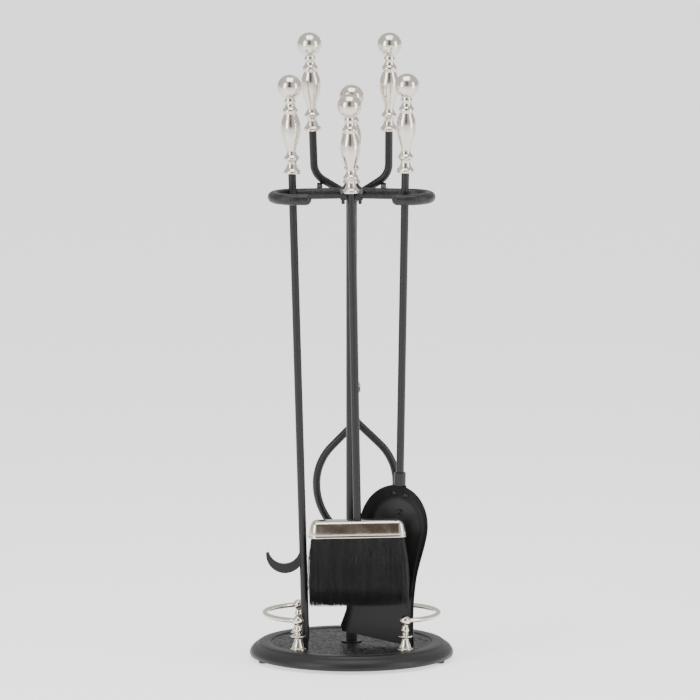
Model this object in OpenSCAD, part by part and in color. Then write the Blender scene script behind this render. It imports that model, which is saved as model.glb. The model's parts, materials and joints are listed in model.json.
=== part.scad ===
// Fireplace tool set: a free-standing post on a round cast base, with a hanger that holds
// a poker, a shovel, a brush and a pair of tongs. Millimetres, +Z up, the floor is z = 0,
// +X to the right of the set, +Y to its back. The origin is the centre of the base.

/* [Base] */
// Outer radius of the cast base
base_r = 130; // [120:1:140]
// Radius of the crinkled recess on top of the base
recess_r = 103; // [98:1:108]
// Height of the recess floor, where the tools stand
recess_z = 19.7; // [18:0.1:21]
// Height of the flat ledge round the recess
ledge_z = 21.4; // [20:0.1:23]
// Height of the feet under the rim
foot_h = 3.8; // [3:0.1:5]
// Wall thickness of the casting
casting_t = 6; // [5:0.5:8]

/* [Post and hanger] */
// Diameter of the centre post
post_d = 14; // [12:0.5:16]
// Height of the centre line of the hanger arms
hanger_z = 597; // [580:1:620]
// Diameter of the hook bars
hook_d = 14.3; // [12:0.1:16]
// Radius of a hook's loop, at the bar's centre
loop_r = 28.4; // [26:0.1:32]
// How far the centre of a loop is to the side of the post
loop_x = 70.5; // [66:0.5:74]
// How far the centre of a loop is in front of the post
loop_y = 39.4; // [36:0.1:42]

/* [Gallery] */
// Half the side-to-side distance of the gallery posts
gallery_x = 68; // [64:0.5:72]
// Half the front-to-back distance of the gallery posts
gallery_y = 61; // [58:0.5:64]
// How far out the bowed rails reach
rail_reach = 110.8; // [106:0.1:114]
// Diameter of the rails
rail_d = 6.2; // [5:0.1:7]

/* [Tools] */
// Diameter of the tools' shafts
shaft_d = 10; // [9:0.1:11]
// Length of the poker from its tip to its handle
poker_length = 605; // [595:1:620]
// Length of the shovel's shaft from the pan's heel to the handle
shovel_length = 403; // [395:1:415]
// Length of the shovel's pan
pan_length = 202.6; // [195:1:210]
// Thickness of the pan's sheet
pan_t = 1.6; // [1.2:0.1:2]
// Length of the brush's shaft from its handle to the ferrule
brush_length = 417; // [410:1:425]
// Width of the brush's ferrule
ferrule_w = 125; // [118:1:128]
// Length of the bristles below the ferrule
bristle_length = 88; // [80:1:92]
// Height of a tongs handle's foot above the pivot
tongs_reach = 333; // [325:1:345]
// How far a handle of the tongs is from their centre line
tongs_half_w = 48.4; // [46:0.1:52]
// Widest half opening of the tongs' jaws, at the bar's centre
jaw_half_w = 50.7; // [48:0.1:54]

/* [Hidden] */
$fn = 48;

// Clearances
slip = 0.05;        // radial, round a threaded end or a screw
gap = 0.3;          // between pieces that move apart

// Colours
iron = [0.10, 0.10, 0.11];
powder_coat = [0.13, 0.13, 0.14];
nickel = [0.80, 0.77, 0.72];
zinc = [0.60, 0.61, 0.62];
rubber = [0.05, 0.05, 0.05];
bristle = [0.06, 0.06, 0.06];
beech = [0.55, 0.40, 0.25];

// Bent bars: how far a straight runs into a bend, and how much thinner it is
bend_in = 0.6;
draw_down = 0.1;

// Base
rim_inner_r = 113;
foot_r = 6;
foot_ring_r = 120;
foot_angle = 21;
foot_stem_r = 2.5;
foot_stem_h = 6;
boss_r = 13;
boss_top = 2.5;
boss_bottom_z = 12;
rib_t = 4;
rib_h = 5;
ribs = 8;
cavity_z = recess_z - casting_t;
post_z = recess_z + boss_top;

// Threads, as plain cylinders of the nominal size
stud_r = 4;         // M8
screw_r = 2.5;      // M5
tool_stud_r = 3;    // M6
tool_stud_h = 14;

// Hanger
hub_r = 13.3;
hub_top = hanger_z + 5;
hub_bottom = hanger_z - 7.5;
spigot_r = 4.5;
spigot_in = 7;
collar_h = 7.5;
stand_handle_z = hub_top + collar_h;
prong_x = 10.7;
prong_w = 7;
prong_t = 8.2;
prong_reach = 58;
lug_drop = 5;
rest_x = 40.5;
rest_w = 7;
rest_t = 8;
rest_reach = 40;
rest_lip = 1.5;
// Where the straight run of a hook touches the circle of its loop
loop_dist = norm([loop_x, loop_y]);
loop_run = sqrt(pow(loop_dist, 2) - pow(loop_r, 2));
loop_slant = atan2(loop_y, loop_x) - asin(loop_r / loop_dist);
loop_sweep = 180 - loop_slant;
hook_tip = 12.75;

// Turned profiles, as [height, radius] knots of a smooth curve between the foot and the ball
handle_h = 110;     // the ball's centre, above the handle's foot
handle_ball_r = 15.5;
handle_knots = [
    [0, 10.4], [1.4, 10.8], [3.6, 10.5], [5.4, 8.6], [9, 6.8], [13, 6.0], [16, 7.0], [18, 9.2],
    [19.6, 9.7], [21.2, 9.1], [24, 6.8], [28.5, 5.9], [34, 6.9], [42, 9.6], [50, 11.8], [58.6, 12.5],
    [66, 11.7], [72.5, 9.4], [75.6, 8.4], [77.2, 8.8], [79.6, 9.7], [82, 9.0], [85, 6.8], [88.4, 6.0],
    [90.4, 6.6], [92, 7.2], [93.6, 6.7], [95.4, 6.2], [97, 6.4]
];
gallery_ball_h = 38;
gallery_ball_r = 6.7;
gallery_knots = [
    [0, 9.7], [0.7, 10], [2, 10], [2.9, 9.3], [3.3, 7.8], [6, 7.2], [9.5, 5.8], [13, 4.5], [15.6, 4.2],
    [16.6, 5.6], [17.2, 8.6], [18.2, 9.2], [19.2, 8.6], [19.8, 5.6], [21, 3.8], [23, 4.2], [25.6, 4.9],
    [28, 4.5], [30, 3.7], [31.6, 3.5], [33, 3.9]
];
spline_steps = 4;
gallery_rail_z = recess_z + gallery_ball_h;
rail_bow = rail_reach - gallery_x;
rail_r = (pow(gallery_y, 2) + pow(rail_bow, 2)) / (2 * rail_bow);
rail_half_angle = asin(gallery_y / rail_r);

// Poses of the tools: the point where a tool's own origin lies, and the slopes of its shaft,
// dx/dz and dy/dz. Each leans on the inside of its loop, or hangs in its fork or on its rests.
poker_tip = [-58, -48, recess_z + 0.5];
poker_slope = [-0.0285, 0.0416];
shovel_heel = [61.2, -39.7, 228.3];
shovel_slope = [0.01625, -0.0415];
shovel_yaw = -20;
pan_origin = [33.6, -25.2, 27.95];
pan_turn = [-1.85, 9, shovel_yaw];
brush_foot = [-0.6, -54, hanger_z + 7];
brush_slope = [-0.019, 0.010];
tongs_pivot = [4.2, 40, 342];
tongs_slope = [-0.0157, -0.054];

// Poker
poker_point = 16;
crescent_in = [-24, 129];
crescent_in_r = 20;
crescent_out = [-23, 121.2];
crescent_out_r = 24.2;
crescent_tip_z = 124;
crescent_root_z = 127;
crescent_t = 8;

// Shovel pan, in its own plane: u across, v up from the lip, h out of the floor
pan_heel_v = 148;
pan_heel_half = 45.9;
pan_waist = 41;
pan_waist_v = 88;
pan_lip = 52.2;
pan_floor_half = 32.9;
pan_floor_flare = 13.5;
pan_rim_lip = 8;
pan_rim_heel = 12;
pan_corner_r = 4;
pan_rows = 34;
pan_cols = 26;
socket_r = 7.5;
socket_z = 0.6;
socket_h = 16;
socket_floor = 3;
tongue_w = 14;
tongue_plate_w = 24;
tongue_t = 3;
strap_fit = 0.2;
tongue_v = 158;
tongue_neck_v = 192;
rivet_spots = [[-8.5, 190], [7, 190], [1, 167]];
rivet_dome_r = 4.2;
rivet_lift = 0.6;    // the flat foot of a dome stands on the dished sheet by its edge

// Brush
ferrule_d = 34;
ferrule_h = 21;
ferrule_t = 1;
ferrule_corner = 9;
corner_steps = 6;
bristle_d = 23;
bristle_w = 119;
bristle_in = 8;
bristle_spread = 3.5;
nut_h = 5;
nut_r = 5.8;

// Tongs
arm_gap = 0.5;
arm_y = shaft_d / 2 + arm_gap / 2;
rivet_shank_r = 3;
rivet_head_r = 6.5;
rivet_head_h = 2.5;
shoulder_angle = 58;
shoulder_z = 246;
shoulder_r = 25;
jaw_start = 44.5;
jaw_angle = 45;
jaw_bend_r = 12;
jaw_upper_r = 70;
jaw_lower_r = 80;
jaw_tip_angle = 57;
handle_tilt = 1.2;

// ---- Helpers ----

// Rotation that turns +Z onto the line with slopes s = [dx/dz, dy/dz]
function lean(s) = [-atan2(s.y, norm([s.x, 1])), atan2(s.x, 1), 0];

// Catmull-Rom point at t between knots b and c
function spline_point(a, b, c, d, t) =
    0.5 * (2 * b + (c - a) * t + (2 * a - 5 * b + 4 * c - d) * t * t
           + (3 * b - a - 3 * c + d) * t * t * t);

// Smooth curve through knots, as a list of points
function spline(k, n) = let (last = len(k) - 1) concat(
    [for (i = [0 : last - 1], j = [0 : n - 1])
        spline_point(k[max(i - 1, 0)], k[i], k[i + 1], k[min(i + 2, last)], j / n)],
    [k[last]]);

// Turned piece with a ball on top and a blind hole below
module turned(knots, ball_z, ball_r, hole_r, hole_h) {
    curve = spline(knots, spline_steps);
    top = knots[len(knots) - 1][0];
    difference() {
        union() {
            rotate_extrude() polygon(concat([[0, 0]], [for (p = curve) [p[1], p[0]]], [[0, top]]));
            translate([0, 0, ball_z]) sphere(r = ball_r);
        }
        translate([0, 0, -1]) cylinder(r = hole_r, h = hole_h + 1);
    }
}

// Bar that hangs down from the origin: each step is [straight length, bend radius, bend angle];
// a positive angle bends it towards +X. The straights run a little way into the bends, and are
// thinner by the forging's drawn-down fillet.
module bent_bar(d, steps, i = 0) {
    step = steps[i];
    side = sign(step[2]);
    first = i == 0 ? 0 : bend_in;
    translate([0, 0, -step[0]]) {
        translate([0, 0, -bend_in]) cylinder(d = d - draw_down, h = step[0] + bend_in + first);
        if (step[2] != 0) {
            translate([side * step[1], 0, 0]) rotate([90, 0, 0]) mirror([side > 0 ? 1 : 0, 0, 0])
                rotate([0, 0, -abs(step[2])]) rotate_extrude(angle = abs(step[2]))
                    translate([step[1], 0]) circle(d = d);
            if (i + 1 < len(steps)) {
                translate([side * step[1], 0, 0]) rotate([0, -step[2], 0])
                    translate([-side * step[1], 0, 0]) bent_bar(d, steps, i + 1);
            }
        }
    }
}

// ---- Base ----

module base_outline() {
    polygon([
        [0, foot_h], [base_r - 3, foot_h],
        [base_r - 0.7, foot_h + 1], [base_r, foot_h + 3.2], [base_r - 0.4, foot_h + 5.8],
        [base_r - 1.8, foot_h + 8.6], [base_r - 4, foot_h + 11.4], [base_r - 7, foot_h + 13.8],
        [base_r - 10, foot_h + 15.2], [base_r - 11, foot_h + 16], [base_r - 11.6, ledge_z - 0.7],
        [base_r - 12.6, ledge_z], [recess_r + 1, ledge_z], [recess_r, ledge_z - 0.6],
        [recess_r - 0.4, recess_z], [0, recess_z]
    ]);
}

module base_cavity() {
    difference() {
        translate([0, 0, foot_h - 1]) cylinder(r = rim_inner_r, h = cavity_z - foot_h + 1);
        translate([0, 0, boss_bottom_z]) cylinder(r = boss_r, h = cavity_z);
        for (sx = [-1, 1], sy = [-1, 1])
            translate([sx * gallery_x, sy * gallery_y, boss_bottom_z]) cylinder(r = 8, h = cavity_z);
        for (i = [0 : ribs - 1])
            rotate([0, 0, (i + 0.5) * 360 / ribs])
                translate([boss_r - 2, -rib_t / 2, cavity_z - rib_h])
                    cube([rim_inner_r - boss_r + 4, rib_t, rib_h + 1]);
    }
}

module at_feet() {
    for (sx = [-1, 1], sy = [-1, 1])
        translate([sx * foot_ring_r * cos(foot_angle), sy * foot_ring_r * sin(foot_angle), 0]) children();
}

module at_gallery_posts() {
    for (sx = [-1, 1], sy = [-1, 1])
        translate([sx * gallery_x, sy * gallery_y, 0]) children();
}

module base_casting() {
    color(iron) difference() {
        union() {
            rotate_extrude() base_outline();
            translate([0, 0, cavity_z]) cylinder(r = boss_r, h = post_z - cavity_z);
        }
        base_cavity();
        cylinder(r = stud_r + slip, h = post_z + 1);
        at_gallery_posts() cylinder(r = screw_r + slip, h = recess_z + 1);
        at_feet() cylinder(r = foot_stem_r + slip, h = foot_h + foot_stem_h + 0.5);
    }
}

module base_feet() {
    color(rubber) at_feet() {
        rotate_extrude()
            polygon([[0, 0], [foot_r - 1, 0], [foot_r, 1], [foot_r, foot_h], [0, foot_h]]);
        cylinder(r = foot_stem_r, h = foot_h + foot_stem_h);
    }
}

module post() {
    color(powder_coat) difference() {
        translate([0, 0, post_z]) cylinder(d = post_d, h = hub_bottom - post_z);
        translate([0, 0, post_z - 1]) cylinder(r = stud_r + slip, h = 27);
        translate([0, 0, hub_bottom - 24]) cylinder(r = stud_r + slip, h = 25);
    }
}

module post_washer() {
    color(zinc) translate([0, 0, boss_bottom_z - 1.6]) difference() {
        cylinder(r = 8, h = 1.6);
        translate([0, 0, -1]) cylinder(r = stud_r + 0.2, h = 4);
    }
}

module post_bolt() {
    color(zinc) {
        translate([0, 0, boss_bottom_z - 1.6 - 5.3]) cylinder(r = 7.5, h = 5.3, $fn = 6);
        translate([0, 0, boss_bottom_z - 1.6]) cylinder(r = stud_r, h = 32);
    }
}

// ---- Gallery ----

module gallery_rail_bar(d) {
    translate([-(rail_reach - rail_r), 0, gallery_rail_z]) rotate([0, 0, 180 - rail_half_angle])
        rotate_extrude(angle = 2 * rail_half_angle) translate([rail_r, 0]) circle(d = d);
}

module gallery_post(sx, sy) {
    color(nickel) difference() {
        translate([sx * gallery_x, sy * gallery_y, recess_z])
            turned(gallery_knots, gallery_ball_h, gallery_ball_r, screw_r + slip, 12);
        mirror([sx > 0 ? 1 : 0, 0, 0]) gallery_rail_bar(rail_d);
    }
}

module front_left_gallery_post() { gallery_post(-1, -1); }
module front_right_gallery_post() { gallery_post(1, -1); }
module back_left_gallery_post() { gallery_post(-1, 1); }
module back_right_gallery_post() { gallery_post(1, 1); }
module left_gallery_rail() { color(nickel) gallery_rail_bar(rail_d); }
module right_gallery_rail() { color(nickel) mirror([1, 0, 0]) gallery_rail_bar(rail_d); }

module gallery_screws() {
    head_h = 2.6;
    color(zinc) at_gallery_posts() translate([0, 0, boss_bottom_z - head_h]) {
        rotate_extrude()
            polygon([[0, 0], [3.4, 0], [4.6, 1], [4.8, head_h], [0, head_h]]);
        cylinder(r = screw_r, h = recess_z - boss_bottom_z + head_h + 10);
    }
}

// ---- Hanger ----

// Straight run of the left hook, from the post's axis out to the loop
module hook_run(d, from, to) {
    translate([0, 0, hanger_z]) rotate([0, 0, 180 + loop_slant]) rotate([0, 90, 0])
        translate([0, 0, from]) cylinder(d = d, h = to - from);
}

module hanger_hub() {
    color(iron) difference() {
        translate([0, 0, hub_bottom]) cylinder(r = hub_r, h = hub_top - hub_bottom);
        translate([0, 0, hub_bottom - 1]) cylinder(r = stud_r + slip, h = 20);
        for (m = [0, 1]) mirror([m, 0, 0]) hook_run(2 * spigot_r, spigot_in, hub_r + 2);
    }
}

module hook() {
    difference() {
        union() {
            hook_run(hook_d - draw_down, 0, loop_run + 2 * bend_in);
            translate([-loop_x, -loop_y, hanger_z]) rotate([0, 0, 90 + loop_slant])
                rotate_extrude(angle = loop_sweep) translate([loop_r, 0]) circle(d = hook_d);
            translate([-loop_x - 2 * bend_in, -loop_y - loop_r, hanger_z]) rotate([0, 90, 0])
                rotate_extrude() hook_end();
        }
        translate([0, 0, hanger_z - 20]) cylinder(r = hub_r, h = 40);
    }
    hook_run(2 * spigot_r - draw_down, spigot_in, hub_r + 2);
}

// Half section of the straight, round-nosed end of a hook
module hook_end() {
    r = (hook_d - draw_down) / 2;
    straight = hook_tip + 2 * bend_in;
    polygon(concat([[0, 0], [r, 0]],
        [for (a = [0 : 6 : 90]) [r * cos(a), straight + r * sin(a)]]));
}

module left_hook() { color(iron) hook(); }
module right_hook() { color(iron) mirror([1, 0, 0]) hook(); }

module brush_fork() {
    top = hanger_z + 6.4;
    color(iron) difference() {
        union() {
            for (s = [-1, 1]) {
                translate([s * prong_x - prong_w / 2, -prong_reach, top - prong_t])
                    cube([prong_w, prong_reach, prong_t]);
                translate([s * prong_x - 2.25, -prong_reach, top - prong_t - lug_drop])
                    cube([4.5, 5, prong_t]);
            }
            translate([-prong_x, -22, top - prong_t]) cube([2 * prong_x, 10, prong_t]);
        }
        translate([0, 0, hanger_z - 20]) cylinder(r = hub_r, h = 40);
        for (m = [0, 1]) mirror([m, 0, 0]) hook_run(hook_d, 0, loop_run);
    }
}

module tongs_rest() {
    top = hanger_z + 6.6;
    color(iron) difference() {
        union() {
            translate([-rest_x - rest_w / 2, -6, top - rest_t]) cube([rest_w, rest_reach + 6, rest_t]);
            translate([-rest_x - rest_w / 2, rest_reach - 2.5, top - rest_t])
                cube([rest_w, 2.5, rest_t + rest_lip]);
        }
        hook_run(hook_d, 0, loop_run);
    }
}

module left_tongs_rest() { tongs_rest(); }
module right_tongs_rest() { mirror([1, 0, 0]) tongs_rest(); }

module hanger_collar() {
    color(iron) translate([0, 0, hub_top]) difference() {
        rotate_extrude()
            polygon([[0, 0], [13.3, 0], [13.3, 1.6], [12, 2.9], [10.2, 4.4], [9.2, 6],
                     [8.9, collar_h], [0, collar_h]]);
        translate([0, 0, -1]) cylinder(r = stud_r + slip, h = 11);
    }
}

module hanger_stud() {
    color(zinc) translate([0, 0, hub_bottom - 20]) cylinder(r = stud_r, h = stand_handle_z - hub_bottom + 34);
}

module stand_handle() {
    color(nickel) translate([0, 0, stand_handle_z])
        turned(handle_knots, handle_h, handle_ball_r, stud_r + slip, 15);
}

module tool_handle() {
    color(nickel) turned(handle_knots, handle_h, handle_ball_r, tool_stud_r + slip, tool_stud_h + 1);
}

// ---- Poker: its own origin is the tip, +Z along the shaft ----

module place_poker() { translate(poker_tip) rotate(lean(poker_slope)) children(); }

module poker_shaft() {
    color(powder_coat) place_poker() {
        cylinder(d1 = 4, d2 = shaft_d, h = poker_point);
        translate([0, 0, poker_point]) cylinder(d = shaft_d, h = poker_length - poker_point);
        cylinder(r = tool_stud_r, h = poker_length + tool_stud_h);
    }
}

module poker_hook() {
    color(powder_coat) place_poker() difference() {
        translate([0, crescent_t / 2, 0]) rotate([90, 0, 0]) linear_extrude(crescent_t)
            difference() {
                translate(crescent_out) circle(r = crescent_out_r);
                translate(crescent_in) circle(r = crescent_in_r);
                translate([-60, crescent_tip_z]) square([36, 40]);
                translate([-25, crescent_root_z]) square([40, 40]);
                translate([0, 80]) square([20, 80]);
            }
        cylinder(d = shaft_d, h = poker_length);
    }
}

module poker_handle() { place_poker() translate([0, 0, poker_length]) tool_handle(); }

// ---- Shovel: its own origin is where the shaft's line meets the heel, +Z along the shaft ----

module place_shovel() {
    translate(shovel_heel) rotate(lean(shovel_slope)) rotate([0, 0, shovel_yaw]) children();
}

// The pan's own frame: x across, z up along the floor, -y out of the floor
module place_pan() { translate(pan_origin) rotate(pan_turn) children(); }

function smooth(t) = let (c = min(max(t, 0), 1)) c * c * (3 - 2 * c);

// Half width of the rim at v: a concave waist below the heel's half ellipse, corners rounded
function pan_side(v) =
    let (flare = v < pan_waist_v ? pan_lip - pan_waist : pan_heel_half - pan_waist,
         span = v < pan_waist_v ? pan_waist_v : pan_heel_v - pan_waist_v,
         t = abs(v - pan_waist_v) / span)
    pan_waist + flare * (v < pan_waist_v ? t * t : smooth(t));
function pan_half(v) =
    v > pan_heel_v ? pan_heel_half * sqrt(max(1 - pow((v - pan_heel_v) / (pan_length - pan_heel_v), 2), 0))
    : pan_side(v) - (v < pan_corner_r
        ? pan_corner_r - sqrt(pow(pan_corner_r, 2) - pow(pan_corner_r - v, 2)) : 0);

// Half width of the flat floor, and the height of the rim above it
function pan_floor(v) = pan_floor_half + pan_floor_flare * pow(max(1 - v / pan_waist_v, 0), 1.7);
function pan_rim(v) = pan_rim_lip + (pan_rim_heel - pan_rim_lip) * smooth(v / pan_heel_v);

// How far a point is up the wall, from 0 at the floor's edge to 1 at the rim; at the heel it is
// measured along the ray from the centre of the half ellipse
function wall(u, v) = (abs(u) - pan_floor(v)) / (pan_side(v) - pan_floor(v));
function heel_wall(u, v) =
    let (r = norm([u, v]), e = norm([u / pan_heel_half, v / (pan_length - pan_heel_v)]))
    (r - pan_floor_half) / (r / max(e, 0.01) - pan_floor_half);
function pan_h(u, v) =
    let (t = v > pan_heel_v ? heel_wall(u, v - pan_heel_v) : wall(u, v))
    pan_rim(v) * pow(min(max(t, 0), 1), 1.4);

// Pressed sheet: rows run up the pan, columns across it
module dish_sheet(rows, cols) {
    function row_v(j) = (pan_length - 0.4) * sin(90 * j / rows);
    function point(i, j, lift) =
        let (v = row_v(j), u = max(pan_half(v), 3) * (2 * i / cols - 1))
        [u, -(pan_h(u, v) + lift), v];
    n = (rows + 1) * (cols + 1);
    function at(i, j, side) = side * n + j * (cols + 1) + i;
    points = [for (side = [0, 1], j = [0 : rows], i = [0 : cols]) point(i, j, side == 0 ? -pan_t : 0)];
    quads = concat(
        [for (j = [0 : rows - 1], i = [0 : cols - 1])
            [at(i, j, 0), at(i, j + 1, 0), at(i + 1, j + 1, 0), at(i + 1, j, 0)]],
        [for (j = [0 : rows - 1], i = [0 : cols - 1])
            [at(i, j, 1), at(i + 1, j, 1), at(i + 1, j + 1, 1), at(i, j + 1, 1)]],
        [for (i = [0 : cols - 1]) [at(i, 0, 0), at(i + 1, 0, 0), at(i + 1, 0, 1), at(i, 0, 1)]],
        [for (i = [0 : cols - 1])
            [at(i, rows, 0), at(i, rows, 1), at(i + 1, rows, 1), at(i + 1, rows, 0)]],
        [for (j = [0 : rows - 1]) [at(0, j, 0), at(0, j, 1), at(0, j + 1, 1), at(0, j + 1, 0)]],
        [for (j = [0 : rows - 1])
            [at(cols, j, 0), at(cols, j + 1, 0), at(cols, j + 1, 1), at(cols, j, 1)]]);
    triangles = [for (q = quads) each [[q[0], q[1], q[2]], [q[0], q[2], q[3]]]];
    polyhedron(points, triangles);
}

module shovel_pan() {
    color(powder_coat) place_pan() dish_sheet(pan_rows, pan_cols);
}

// Strap behind the pan's heel, a bent plate that follows the back of the sheet up to the height v_top
module strap(w, v_top, rise) {
    edge = [for (v = [tongue_v : 6 : v_top]) [v, pan_t + strap_fit - pan_h(0, v)]];
    top = [v_top + rise, pan_t + strap_fit - pan_h(0, v_top)];
    front = concat(edge, [top]);
    back = [for (i = [len(front) - 1 : -1 : 0]) front[i] + [0, tongue_t]];
    translate([w / 2, 0, 0]) rotate([0, -90, 0]) linear_extrude(w) polygon(concat(front, back));
}

module shovel_shaft() {
    color(powder_coat) place_shovel() {
        translate([0, 0, socket_z + socket_floor])
            cylinder(d = shaft_d, h = shovel_length - socket_z - socket_floor);
        translate([0, 0, shovel_length - 1]) cylinder(r = tool_stud_r, h = tool_stud_h + 1);
    }
}

module shovel_socket() {
    color(powder_coat) {
        place_shovel() difference() {
            translate([0, 0, socket_z]) cylinder(r = socket_r, h = socket_h);
            translate([0, 0, socket_z + socket_floor]) cylinder(d = shaft_d + 2 * slip, h = socket_h);
        }
        place_pan() {
            strap(tongue_plate_w, tongue_neck_v, 1);
            strap(tongue_w, pan_length, 1);
        }
    }
}

module shovel_rivets() {
    color(zinc) place_pan() for (s = rivet_spots) {
        h = pan_h(s[0], s[1]);
        slope = atan2(pan_h(s[0], s[1] + 1) - pan_h(s[0], s[1] - 1), 2);
        translate([s[0], -h, s[1]]) rotate([90 + slope, 0, 0]) {
            intersection() {
                translate([0, 0, rivet_lift - rivet_dome_r / 2]) sphere(r = rivet_dome_r);
                translate([0, 0, rivet_lift]) cylinder(r = 6, h = 5);
            }
        }
    }
}

module shovel_handle() { place_shovel() translate([0, 0, shovel_length]) tool_handle(); }

// ---- Brush: its own origin is the handle's foot, the shaft hangs down from it ----

module place_brush() { translate(brush_foot) rotate(lean(brush_slope)) children(); }

module place_ferrule() {
    place_brush() translate([0, 0, -brush_length - ferrule_h]) children();
}

module rounded_plate(w, d, r, h) {
    linear_extrude(h) offset(r = r) square([w - 2 * r, d - 2 * r], center = true);
}

module brush_shaft() {
    color(powder_coat) place_brush() {
        translate([0, 0, -brush_length]) cylinder(d = shaft_d, h = brush_length);
        cylinder(r = tool_stud_r, h = tool_stud_h);
        translate([0, 0, -brush_length - ferrule_h + bristle_in])
            cylinder(r = tool_stud_r, h = ferrule_h - bristle_in + 1);
    }
}

// Ring of points round a rounded rectangle, smaller by inset all round, at height z
function ferrule_ring(inset, z) =
    let (r = max(ferrule_corner - inset, 2), w = ferrule_w / 2 - inset - r, d = ferrule_d / 2 - inset - r)
    [for (q = [0 : 3], k = [0 : corner_steps])
        let (a = 90 * (q + k / corner_steps))
        [(q == 0 || q == 3 ? w : -w) + r * cos(a), (q < 2 ? d : -d) + r * sin(a), z]];

// Open-bottomed cover with a bevelled top edge: one shell from the outside in to the inside
module ferrule_shell() {
    rings = [
        ferrule_ring(ferrule_t, 0), ferrule_ring(0, 0), ferrule_ring(0, ferrule_h - 5),
        ferrule_ring(1.1, ferrule_h - 1.9), ferrule_ring(3.6, ferrule_h),
        ferrule_ring(4, ferrule_h - ferrule_t), ferrule_ring(ferrule_t + 0.9, ferrule_h - 3),
        ferrule_ring(ferrule_t, ferrule_h - 5.6)
    ];
    n = len(rings[0]);
    m = len(rings);
    function at(j, i) = (j % m) * n + i % n;
    sides = [for (j = [0 : m - 1], i = [0 : n - 1]) if (j != 4)
        each [[at(j, i), at(j + 1, i), at(j + 1, i + 1)], [at(j, i), at(j + 1, i + 1), at(j, i + 1)]]];
    caps = [[for (i = [n - 1 : -1 : 0]) at(4, i)], [for (i = [0 : n - 1]) at(5, i)]];
    polyhedron([for (ring = rings) each ring], concat(sides, caps));
}

module brush_ferrule() {
    color(nickel) place_ferrule() difference() {
        ferrule_shell();
        translate([0, 0, ferrule_h - 4]) cylinder(r = tool_stud_r + slip, h = 8);
    }
}

module brush_block() {
    color(beech) place_ferrule() difference() {
        translate([0, 0, bristle_in])
            rounded_plate(ferrule_w - 12, ferrule_d - 12, 5, ferrule_h - bristle_in - 2, $fn = 32);
        translate([0, 0, bristle_in - 1]) cylinder(r = tool_stud_r + slip, h = ferrule_h);
        translate([0, 0, bristle_in - 1]) cylinder(r = nut_r + slip, h = nut_h + 1, $fn = 6);
    }
}

module brush_nut() {
    color(zinc) place_ferrule() translate([0, 0, bristle_in]) difference() {
        cylinder(r = nut_r, h = nut_h, $fn = 6);
        translate([0, 0, -1]) cylinder(r = tool_stud_r + slip, h = nut_h + 2);
    }
}

module brush_bristles() {
    color(bristle) place_ferrule() hull() {
        translate([0, 0, bristle_in - 1.2]) rounded_plate(bristle_w, bristle_d, 4, 1, $fn = 24);
        translate([0, 0, -bristle_length])
            rounded_plate(bristle_w + 2 * bristle_spread, bristle_d + bristle_spread, 4, 1, $fn = 24);
    }
}

module brush_handle() { place_brush() tool_handle(); }

// ---- Tongs: their own origin is the pivot, +Z up along their centre line ----

module place_tongs() { translate(tongs_pivot) rotate(lean(tongs_slope)) children(); }

// One arm, whose handle is to the left and whose jaw is to the right of the centre line
module tongs_arm() {
    // straight runs between the bends
    shoulder_top = [-tongs_half_w, tongs_reach];
    shoulder_t = shoulder_r * tan((shoulder_angle - handle_tilt) / 2);
    neck_t = shoulder_r * tan(shoulder_angle / 2);
    corner_x = tongs_half_w - 1;
    corner_z = shoulder_z + corner_x / tan(shoulder_angle);
    upper_run = tongs_reach - corner_z - shoulder_t;
    middle_run = norm([corner_x, corner_z - shoulder_z]) - shoulder_t - neck_t;
    jaw_t = jaw_bend_r * tan(jaw_angle / 2);
    lower_run = shoulder_z - neck_t + jaw_start - jaw_t;
    jaw_out = jaw_half_w - jaw_upper_r * (1 - cos(jaw_angle));
    jaw_run = jaw_out / sin(jaw_angle) - jaw_t;
    translate([shoulder_top.x, 0, shoulder_top.y]) rotate([0, -handle_tilt, 0]) {
        bent_bar(shaft_d, [
            [upper_run, shoulder_r, shoulder_angle - handle_tilt],
            [middle_run, shoulder_r, -shoulder_angle],
            [lower_run, jaw_bend_r, jaw_angle],
            [jaw_run, jaw_upper_r, -jaw_angle],
            [1, jaw_lower_r, -jaw_tip_angle]
        ]);
        cylinder(r = tool_stud_r, h = tool_stud_h);
    }
}

module arm_with_hole(side) {
    difference() {
        mirror([side > 0 ? 1 : 0, 0, 0]) translate([0, -side * arm_y, 0]) tongs_arm();
        rotate([90, 0, 0]) cylinder(r = rivet_shank_r + slip, h = 40, center = true);
    }
}

module arm_handle(side) {
    mirror([side > 0 ? 1 : 0, 0, 0]) translate([-tongs_half_w, -side * arm_y, tongs_reach])
        rotate([0, -handle_tilt, 0]) tool_handle();
}

module tongs_left_arm() { color(powder_coat) place_tongs() arm_with_hole(-1); }
module tongs_right_arm() { color(powder_coat) place_tongs() arm_with_hole(1); }
module tongs_left_handle() { place_tongs() arm_handle(-1); }
module tongs_right_handle() { place_tongs() arm_handle(1); }

module tongs_rivet() {
    reach = arm_y + shaft_d / 2 + gap;
    color(zinc) place_tongs() rotate([90, 0, 0]) {
        cylinder(r = rivet_shank_r, h = 2 * reach + 2, center = true);
        for (s = [-1, 1]) translate([0, 0, s * (reach + 1)]) mirror([0, 0, s < 0 ? 1 : 0])
            rotate_extrude()
                polygon([[0, 0], [rivet_head_r, 0], [rivet_head_r - 0.6, 1.2],
                         [rivet_head_r - 2.6, rivet_head_h], [0, rivet_head_h]]);
    }
}

module tongs_washers() {
    reach = arm_y + shaft_d / 2 + gap;
    color(zinc) place_tongs() rotate([90, 0, 0])
        for (s = [-1, 1]) translate([0, 0, s * (reach + 0.5)]) difference() {
            cylinder(r = rivet_head_r + 0.8, h = 1, center = true);
            cylinder(r = rivet_shank_r + slip, h = 4, center = true);
        }
}

// ---- Nodes ----

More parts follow.
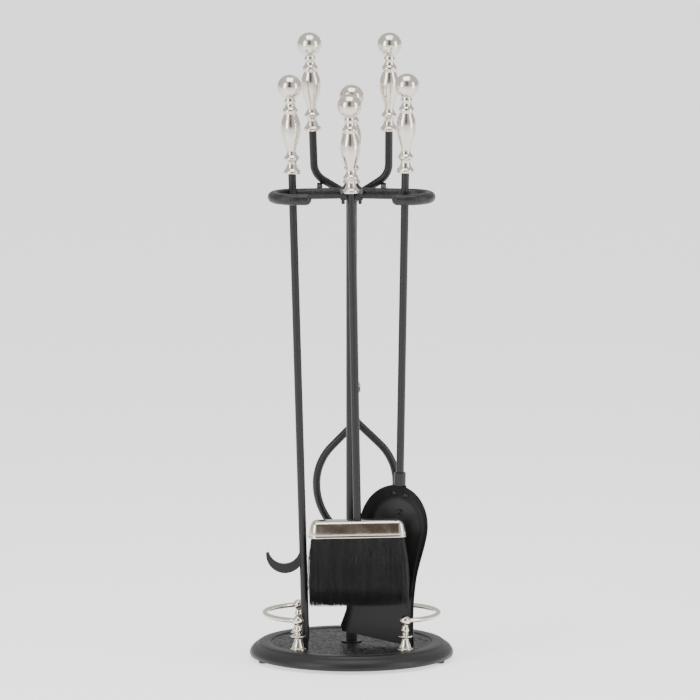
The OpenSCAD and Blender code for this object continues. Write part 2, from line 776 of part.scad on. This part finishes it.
base_casting();
base_feet();
post();
post_bolt();
post_washer();
front_left_gallery_post();
front_right_gallery_post();
back_left_gallery_post();
back_right_gallery_post();
left_gallery_rail();
right_gallery_rail();
gallery_screws();
hanger_hub();
left_hook();
right_hook();
brush_fork();
left_tongs_rest();
right_tongs_rest();
hanger_collar();
hanger_stud();
stand_handle();
poker_shaft();
poker_hook();
poker_handle();
shovel_shaft();
shovel_socket();
shovel_pan();
shovel_rivets();
shovel_handle();
brush_shaft();
brush_nut();
brush_ferrule();
brush_block();
brush_bristles();
brush_handle();
tongs_rivet();
tongs_washers();
tongs_left_arm();
tongs_right_arm();
tongs_left_handle();
tongs_right_handle();
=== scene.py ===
"""Looks of the fireplace tool set: finer surfaces, bristles, crinkled recess, materials, light and camera."""

import json
import math
import random

import bpy
from mathutils import Matrix, Vector, noise


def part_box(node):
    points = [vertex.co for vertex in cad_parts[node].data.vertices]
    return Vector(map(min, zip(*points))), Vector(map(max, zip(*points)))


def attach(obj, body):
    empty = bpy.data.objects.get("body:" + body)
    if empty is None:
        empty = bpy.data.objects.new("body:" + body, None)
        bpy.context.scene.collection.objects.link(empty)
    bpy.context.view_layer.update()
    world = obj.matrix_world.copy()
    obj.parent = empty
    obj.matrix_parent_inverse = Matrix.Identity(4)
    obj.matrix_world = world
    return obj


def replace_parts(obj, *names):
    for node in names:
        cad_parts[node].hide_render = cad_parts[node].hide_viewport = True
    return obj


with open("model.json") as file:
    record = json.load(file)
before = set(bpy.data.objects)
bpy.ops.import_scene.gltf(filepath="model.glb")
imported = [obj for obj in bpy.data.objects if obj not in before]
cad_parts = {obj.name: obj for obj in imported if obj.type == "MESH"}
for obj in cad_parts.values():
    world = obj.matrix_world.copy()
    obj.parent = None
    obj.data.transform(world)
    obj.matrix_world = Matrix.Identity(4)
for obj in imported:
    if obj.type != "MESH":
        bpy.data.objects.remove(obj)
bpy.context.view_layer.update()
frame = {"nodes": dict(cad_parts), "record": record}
MM = 0.001

BODIES = frame["record"]["behaviour"]["bodies"]
BODY_OF = {node: body for body, nodes in BODIES.items() for node in nodes}
SLOT_OF = {part["node"]: part["material_slot"] for part in frame["record"]["subparts"]}


# ---- Materials ----

def new_material(name, color, metallic, roughness):
    material = bpy.data.materials.new(name)
    material.use_nodes = True
    shader = material.node_tree.nodes["Principled BSDF"]
    shader.inputs["Base Color"].default_value = (*color, 1)
    shader.inputs["Metallic"].default_value = metallic
    shader.inputs["Roughness"].default_value = roughness
    return material, shader


def texture(material, kind, scale, stretch=(1, 1, 1), **settings):
    """A procedural texture in the object's own coordinates, in metres."""
    nodes, links = material.node_tree.nodes, material.node_tree.links
    place = nodes.new("ShaderNodeTexCoord")
    mapping = nodes.new("ShaderNodeMapping")
    mapping.inputs["Scale"].default_value = stretch
    tex = nodes.new(kind)
    tex.inputs["Scale"].default_value = scale
    for key, value in settings.items():
        tex.inputs[key].default_value = value
    links.new(place.outputs["Object"], mapping.inputs["Vector"])
    links.new(mapping.outputs["Vector"], tex.inputs["Vector"])
    return tex


def add_bump(material, shader, tex, output, strength, distance):
    nodes, links = material.node_tree.nodes, material.node_tree.links
    bump = nodes.new("ShaderNodeBump")
    bump.inputs["Strength"].default_value = strength
    bump.inputs["Distance"].default_value = distance
    links.new(tex.outputs[output], bump.inputs["Height"])
    links.new(bump.outputs["Normal"], shader.inputs["Normal"])


def vary(material, shader, tex, output, socket, stops):
    """Drives a shader socket from a texture through a ramp of (place, colour) stops."""
    nodes, links = material.node_tree.nodes, material.node_tree.links
    ramp = nodes.new("ShaderNodeValToRGB")
    for element, (place, color) in zip(ramp.color_ramp.elements, stops):
        element.position = place
        element.color = (*color, 1)
    links.new(tex.outputs[output], ramp.inputs["Fac"])
    links.new(ramp.outputs["Color"], shader.inputs[socket])


def satin_black(name, color, roughness, grain, depth):
    """Painted or blackened iron: dark, satin, with a fine orange-peel grain."""
    material, shader = new_material(name, color, 0.0, roughness)
    shader.inputs["Specular IOR Level"].default_value = 0.36
    tex = texture(material, "ShaderNodeTexNoise", grain, Detail=4.0, Roughness=0.55)
    vary(material, shader, tex, "Fac", "Roughness",
         [(0.3, (roughness - 0.06,) * 3), (0.7, (roughness + 0.08,) * 3)])
    add_bump(material, shader, tex, "Fac", 0.5, depth)
    return material


def satin_nickel():
    material, shader = new_material("satin nickel", (0.70, 0.645, 0.57), 1.0, 0.2)
    tex = texture(material, "ShaderNodeTexNoise", 60.0, Detail=3.0)
    vary(material, shader, tex, "Fac", "Roughness", [(0.3, (0.15,) * 3), (0.7, (0.25,) * 3)])
    return material


def hair():
    material, shader = new_material("black hair", (0.008, 0.008, 0.009), 0.0, 0.5)
    tex = texture(material, "ShaderNodeTexNoise", 220.0, (1, 1, 0.05), Detail=2.0)
    vary(material, shader, tex, "Fac", "Base Color",
         [(0.35, (0.004, 0.004, 0.005)), (0.75, (0.02, 0.02, 0.021))])
    return material


def beech():
    material, shader = new_material("beech", (0.45, 0.31, 0.18), 0.0, 0.5)
    tex = texture(material, "ShaderNodeTexNoise", 90.0, (0.1, 1, 1), Detail=3.0)
    vary(material, shader, tex, "Fac", "Base Color",
         [(0.3, (0.38, 0.25, 0.14)), (0.7, (0.52, 0.37, 0.22))])
    return material


def plain(name, color, metallic, roughness, grain):
    material, shader = new_material(name, color, metallic, roughness)
    tex = texture(material, "ShaderNodeTexNoise", grain, Detail=2.0)
    vary(material, shader, tex, "Fac", "Roughness",
         [(0.3, (roughness - 0.05,) * 3), (0.7, (roughness + 0.05,) * 3)])
    return material


MATERIALS = {
    "cast_iron": satin_black("cast iron", (0.011, 0.011, 0.012), 0.42, 700.0, 0.15 * MM),
    "hanger_iron": satin_black("hanger iron", (0.012, 0.012, 0.013), 0.38, 210.0, 2.6 * MM),
    "powder_coat": satin_black("powder coat", (0.010, 0.010, 0.011), 0.38, 1100.0, 0.06 * MM),
    "satin_nickel": satin_nickel(),
    "zinc_steel": plain("zinc steel", (0.55, 0.56, 0.57), 1.0, 0.35, 200.0),
    "rubber": plain("rubber", (0.03, 0.03, 0.03), 0.0, 0.75, 300.0),
    "bristle": hair(),
    "beech": beech(),
}


# ---- Pieces ----

WELD_DISTANCE = 0.004 * MM
SMOOTH_ANGLE = 38       # degrees; a sharper edge stays an edge
END_FACE = 1.0 * MM     # how near a shaft's end its end face is looked for

def add_piece(name, mesh, body, slot_name, smooth_angle=None):
    """Links a mesh as a piece that rides on a body, with its slot's material."""
    piece = bpy.data.objects.new(name, mesh)
    bpy.context.scene.collection.objects.link(piece)
    mesh.materials.clear()
    mesh.materials.append(MATERIALS[slot_name])
    if smooth_angle is not None:
        mesh.shade_smooth()
        mesh.set_sharp_from_angle(angle=math.radians(smooth_angle))
    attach(piece, body)
    return piece


def smooth_copy(node):
    """The CAD node's own surface, welded and smoothly shaded up to its real edges."""
    source = frame["nodes"][node]
    mesh = source.data.copy()
    mesh.transform(source.matrix_world)
    work = bpy.data.objects.new(node + "_work", mesh)
    bpy.context.scene.collection.objects.link(work)
    weld = work.modifiers.new("weld", "WELD")
    weld.merge_threshold = WELD_DISTANCE
    evaluated = work.evaluated_get(bpy.context.evaluated_depsgraph_get())
    welded = bpy.data.meshes.new_from_object(evaluated)
    bpy.data.objects.remove(work)
    if "custom_normal" in welded.attributes:
        welded.attributes.remove(welded.attributes["custom_normal"])
    piece = add_piece(node + "_surface", welded, BODY_OF[node], SLOT_OF[node], SMOOTH_ANGLE)
    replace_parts(piece, node)
    return piece


def end_centre(node, at_top):
    """Middle of a node's lowest or highest face: the node's line runs through both."""
    heights = [v.co.z for v in frame["nodes"][node].data.vertices]
    edge = max(heights) if at_top else min(heights)
    near = [v.co for v in frame["nodes"][node].data.vertices if abs(v.co.z - edge) < END_FACE]
    return sum(near, Vector()) / len(near)


# Crinkled skin of the recess: a polar grid of low bumps over the casting's own floor
SKIN_INNER, SKIN_OUTER = 13.6 * MM, 102.0 * MM
SKIN_FADE = 2.5 * MM        # the bumps die out this far from both edges
SKIN_LIFT = 0.02 * MM
CRINKLE_HEIGHT = 0.75 * MM
CRINKLES_PER_METRE = 170


def crinkle_height(x, y):
    spot = Vector((x, y, 0)) * CRINKLES_PER_METRE
    ridges = noise.turbulence(spot, 3, True, amplitude_scale=0.5, frequency_scale=2.1)
    return CRINKLE_HEIGHT * min(max(1.4 - 1.6 * ridges, 0), 1)


def recess_skin():
    recess_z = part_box("front_left_gallery_post")[0][2]
    rings, spokes = ((170, 840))
    verts, faces = [], []
    for j in range(rings + 1):
        r = SKIN_INNER + (SKIN_OUTER - SKIN_INNER) * j / rings
        ease = min((r - SKIN_INNER) / SKIN_FADE, (SKIN_OUTER - r) / SKIN_FADE, 1)
        for i in range(spokes):
            a = 2 * math.pi * i / spokes
            x, y = r * math.cos(a), r * math.sin(a)
            verts.append((x, y, recess_z + SKIN_LIFT + ease * crinkle_height(x, y)))
    for j in range(rings):
        for i in range(spokes):
            k = (i + 1) % spokes
            faces.append(((j + 1) * spokes + i, (j + 1) * spokes + k, j * spokes + k, j * spokes + i))
    mesh = bpy.data.meshes.new("recess_skin")
    mesh.from_pydata(verts, [], faces)
    mesh.shade_smooth()
    return add_piece("recess_skin", mesh, "stand", "cast_iron")


# Ferrule of the brush: rings of one rounded rectangle, with a rolled lip and a rounded top edge
FERRULE_PROFILE = [(4, 4), (1, 4), (1, 0), (0.3, 0), (0, 0.5), (0.1, 1.5), (0.9, 2.2), (1, 2.9), (0.9, 4),
                   (1.9, 9), (3.1, 14), (4, 16.4), (5.3, 18.6), (7, 20.1), (9.5, 21)]     # inset, height; mm
FERRULE_CORNER = 11 * MM
FERRULE_STEPS = 10          # round each corner
FERRULE_SMOOTH_ANGLE = 50   # degrees


def shaft_matrix(node):
    """Frame of a hanging shaft: its origin at the shaft's top, Z up the shaft, X level from left to right."""
    top, bottom = end_centre(node, True), end_centre(node, False)
    z_axis = (top - bottom).normalized()
    x_axis = Vector((z_axis.z, 0, -z_axis.x)).normalized()
    y_axis = z_axis.cross(x_axis)
    return Matrix.Translation(top) @ Matrix((x_axis, y_axis, z_axis)).transposed().to_4x4()


def local_box(node, matrix):
    inverse = matrix.inverted()
    points = [inverse @ v.co for v in frame["nodes"][node].data.vertices]
    return [Vector([pick(p[k] for p in points) for k in range(3)]) for pick in (min, max)]


def ferrule():
    matrix = shaft_matrix("brush_shaft")
    low, high = local_box("brush_ferrule", matrix)
    middle = (low + high) / 2
    stretch = (high.z - low.z) / (FERRULE_PROFILE[-1][1] * MM)
    verts, faces = [], []
    for inset, height in FERRULE_PROFILE:
        inset *= MM
        r = max(FERRULE_CORNER - inset, 1 * MM)
        w, d = (high.x - low.x) / 2 - inset - r, (high.y - low.y) / 2 - inset - r
        for quarter, (sx, sy) in enumerate(((1, 1), (-1, 1), (-1, -1), (1, -1))):
            for k in range(FERRULE_STEPS + 1):
                a = math.pi / 2 * (quarter + k / FERRULE_STEPS)
                x = middle.x + sx * w + r * math.cos(a)
                y = middle.y + sy * d + r * math.sin(a)
                verts.append(matrix @ Vector((x, y, low.z + height * MM * stretch)))
    ring = 4 * (FERRULE_STEPS + 1)
    for j in range(len(FERRULE_PROFILE) - 1):
        for i in range(ring):
            k = (i + 1) % ring
            faces.append((j * ring + i, j * ring + k, (j + 1) * ring + k, (j + 1) * ring + i))
    faces.append(tuple(range(len(verts) - ring, len(verts))))
    faces.append(tuple(range(ring - 1, -1, -1)))
    mesh = bpy.data.meshes.new("ferrule_cover")
    mesh.from_pydata(verts, [], faces)
    cover = add_piece("ferrule_cover", mesh, "brush", "satin_nickel", FERRULE_SMOOTH_ANGLE)
    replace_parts(cover, "brush_ferrule")


# Hair of the brush: tapering strands set at random under the ferrule, and a dark core between them
ROOT_DEPTH = 3 * MM             # how far the strands start above the ferrule's lower edge
LIP_ROOM = 4.2 * MM             # from the ferrule's side to the outermost root
HAIR_HALF_DEPTH = 9.5 * MM
BOX_ROOM = 0.3 * MM             # the tips stay this far inside the CAD solid's sides
SPLAY = (3.2 * MM, 1.6 * MM)    # how far the outermost tips lean out, across and in depth
CORE_SHARE = 0.8                # of the strands' length
CORE_INSETS = ((1.5 * MM, 1 * MM), (3 * MM, 2 * MM))    # across and in depth, at its top and its foot
STRAND_SIDES, STRAND_RINGS = 3, 4


def strand(verts, faces, root, tip, bow, thick):
    """Adds one strand that tapers from root to tip and is bowed sideways in its middle."""
    base = len(verts)
    for k in range(STRAND_RINGS):
        t = k / (STRAND_RINGS - 1)
        centre = root.lerp(tip, t) + bow * math.sin(math.pi * t)
        r = thick * (1 - 0.6 * t)
        for s in range(STRAND_SIDES):
            a = 2 * math.pi * s / STRAND_SIDES
            verts.append(centre + Vector((r * math.cos(a), r * math.sin(a), 0)))
    for k in range(STRAND_RINGS - 1):
        for s in range(STRAND_SIDES):
            n = (s + 1) % STRAND_SIDES
            a, b = base + k * STRAND_SIDES, base + (k + 1) * STRAND_SIDES
            faces.append((a + s, b + s, b + n, a + n))
    end = base + (STRAND_RINGS - 1) * STRAND_SIDES
    faces.append((end + 2, end + 1, end))


def bristle_core(centre, down, length, half_w):
    """A plain dark block that fills the middle of the hair."""
    corners = []
    for drop, (inset_w, inset_d) in zip((0, length * CORE_SHARE), CORE_INSETS):
        w, d = half_w - inset_w, HAIR_HALF_DEPTH - inset_d
        middle = centre + down * drop
        corners += [middle + Vector((sx * w, sy * d, 0)) for sx, sy in ((-1, -1), (1, -1), (1, 1), (-1, 1))]
    sides = [(0, 4, 5, 1), (1, 5, 6, 2), (2, 6, 7, 3), (3, 7, 4, 0)]
    mesh = bpy.data.meshes.new("bristle_core")
    mesh.from_pydata(corners, [], [(0, 1, 2, 3), (7, 6, 5, 4)] + sides)
    add_piece("bristle_core", mesh, "brush", "bristle")


def bristles():
    low, high = (Vector(c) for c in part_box("brush_bristles"))
    ferrule_low, ferrule_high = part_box("brush_ferrule")
    foot = end_centre("brush_shaft", False)
    down = (foot - end_centre("brush_shaft", True)).normalized()
    root_z = ferrule_low[2] + ROOT_DEPTH
    centre = foot + down * ((foot.z - root_z) / -down.z)
    length = root_z - low.z
    half_w = (ferrule_high[0] - ferrule_low[0]) / 2 - LIP_ROOM
    rng = random.Random(7)
    verts, faces = [], []
    for _ in range(8000):
        u, w = rng.uniform(-1, 1), rng.uniform(-1, 1)
        root = centre + Vector((u * half_w, w * HAIR_HALF_DEPTH, 0))
        reach = length * (1 - 0.07 * rng.random() ** 2 - 0.06 * (rng.random() < 0.2))
        stray = Vector((rng.gauss(0, 3.6) * MM, rng.gauss(0, 0.6) * MM, 0))
        tip = root + down * reach + Vector((u * SPLAY[0], w * SPLAY[1], 0)) + stray
        tip.x = min(max(tip.x, low.x + BOX_ROOM), high.x - BOX_ROOM)
        tip.y = min(max(tip.y, low.y + BOX_ROOM), high.y - BOX_ROOM)
        bow = Vector((rng.gauss(0, 2.4) * MM, rng.gauss(0, 0.4) * MM, 0))
        strand(verts, faces, root, tip, bow, rng.uniform(0.16, 0.30) * MM)
    mesh = bpy.data.meshes.new("bristle_strands")
    mesh.from_pydata(verts, [], faces)
    mesh.shade_smooth()
    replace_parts(add_piece("bristle_strands", mesh, "brush", "bristle"), "brush_bristles")
    bristle_core(centre, down, length, half_w)


# ---- Stage ----

FLOOR_GLOW = 1.1
WORLD_STRENGTH = 0.85
BAND_COLOR = (0.10, 0.07, 0.05)
BAND_INNER, BAND_OUTER = 0.08, 0.42     # sine of the angle from straight ahead

def look_at(obj, target):
    obj.rotation_euler = (Vector(target) - obj.location).to_track_quat("-Z", "Y").to_euler()


def area_light(name, place, target, size, power):
    light = bpy.data.lights.new(name, "AREA")
    light.shape = "RECTANGLE"
    light.size, light.size_y = size
    light.energy = power
    lamp = bpy.data.objects.new(name, light)
    bpy.context.scene.collection.objects.link(lamp)
    lamp.location = place
    look_at(lamp, target)


def studio_world():
    """White all round but for a dim upright band in front of the set, as a studio's open side is."""
    world = bpy.data.worlds.new("studio")
    bpy.context.scene.world = world
    world.use_nodes = True
    nodes, links = world.node_tree.nodes, world.node_tree.links
    direction = nodes.new("ShaderNodeTexCoord")
    split = nodes.new("ShaderNodeSeparateXYZ")
    aside = nodes.new("ShaderNodeMath")
    aside.operation = "ABSOLUTE"
    away = nodes.new("ShaderNodeMath")
    away.operation = "MAXIMUM"
    ramp = nodes.new("ShaderNodeValToRGB")
    dark, light = ramp.color_ramp.elements
    dark.position, dark.color = BAND_INNER, (*BAND_COLOR, 1)
    light.position, light.color = BAND_OUTER, (1, 1, 1, 1)
    background = nodes["Background"]
    background.inputs["Strength"].default_value = WORLD_STRENGTH
    links.new(direction.outputs["Generated"], split.inputs["Vector"])
    links.new(split.outputs["X"], aside.inputs[0])
    links.new(aside.outputs["Value"], away.inputs[0])
    links.new(split.outputs["Y"], away.inputs[1])
    links.new(away.outputs["Value"], ramp.inputs["Fac"])
    links.new(ramp.outputs["Color"], background.inputs["Color"])


def stage():
    mesh = bpy.data.meshes.new("floor")
    mesh.from_pydata([(-30, -30, 0), (30, -30, 0), (30, 30, 0), (-30, 30, 0)], [], [(0, 1, 2, 3)])
    floor = bpy.data.objects.new("floor", mesh)
    bpy.context.scene.collection.objects.link(floor)
    material, shader = new_material("pale floor", (0.93, 0.93, 0.93), 0.0, 0.8)
    shader.inputs["Emission Color"].default_value = (1, 1, 1, 1)
    shader.inputs["Emission Strength"].default_value = FLOOR_GLOW
    mesh.materials.append(material)
    studio_world()
    middle = (0, 0, 0.4)
    area_light("left", (-1.6, -1.5, 1.3), middle, (0.8, 1.6), 26)
    area_light("right", (1.9, -0.9, 1.0), middle, (0.6, 1.6), 18)
    area_light("top", (0, -0.3, 2.4), middle, (1.4, 1.4), 30)


def camera():
    distance, elevation, view_width, sensor = 12.0, math.radians(8.2), 0.889, 36.0
    target = Vector((-0.002, 0, 0.396))
    data = bpy.data.cameras.new("photo")
    data.sensor_width = sensor
    data.lens = sensor * distance / view_width
    data.clip_end = 60
    cam = bpy.data.objects.new("photo", data)
    bpy.context.scene.collection.objects.link(cam)
    cam.location = target + distance * Vector((0, -math.cos(elevation), math.sin(elevation)))
    look_at(cam, target)
    bpy.context.scene.camera = cam


for node_name in frame["nodes"]:
    if node_name not in ("brush_bristles", "brush_ferrule"):
        smooth_copy(node_name)
recess_skin()
ferrule()
bristles()
stage()
camera()
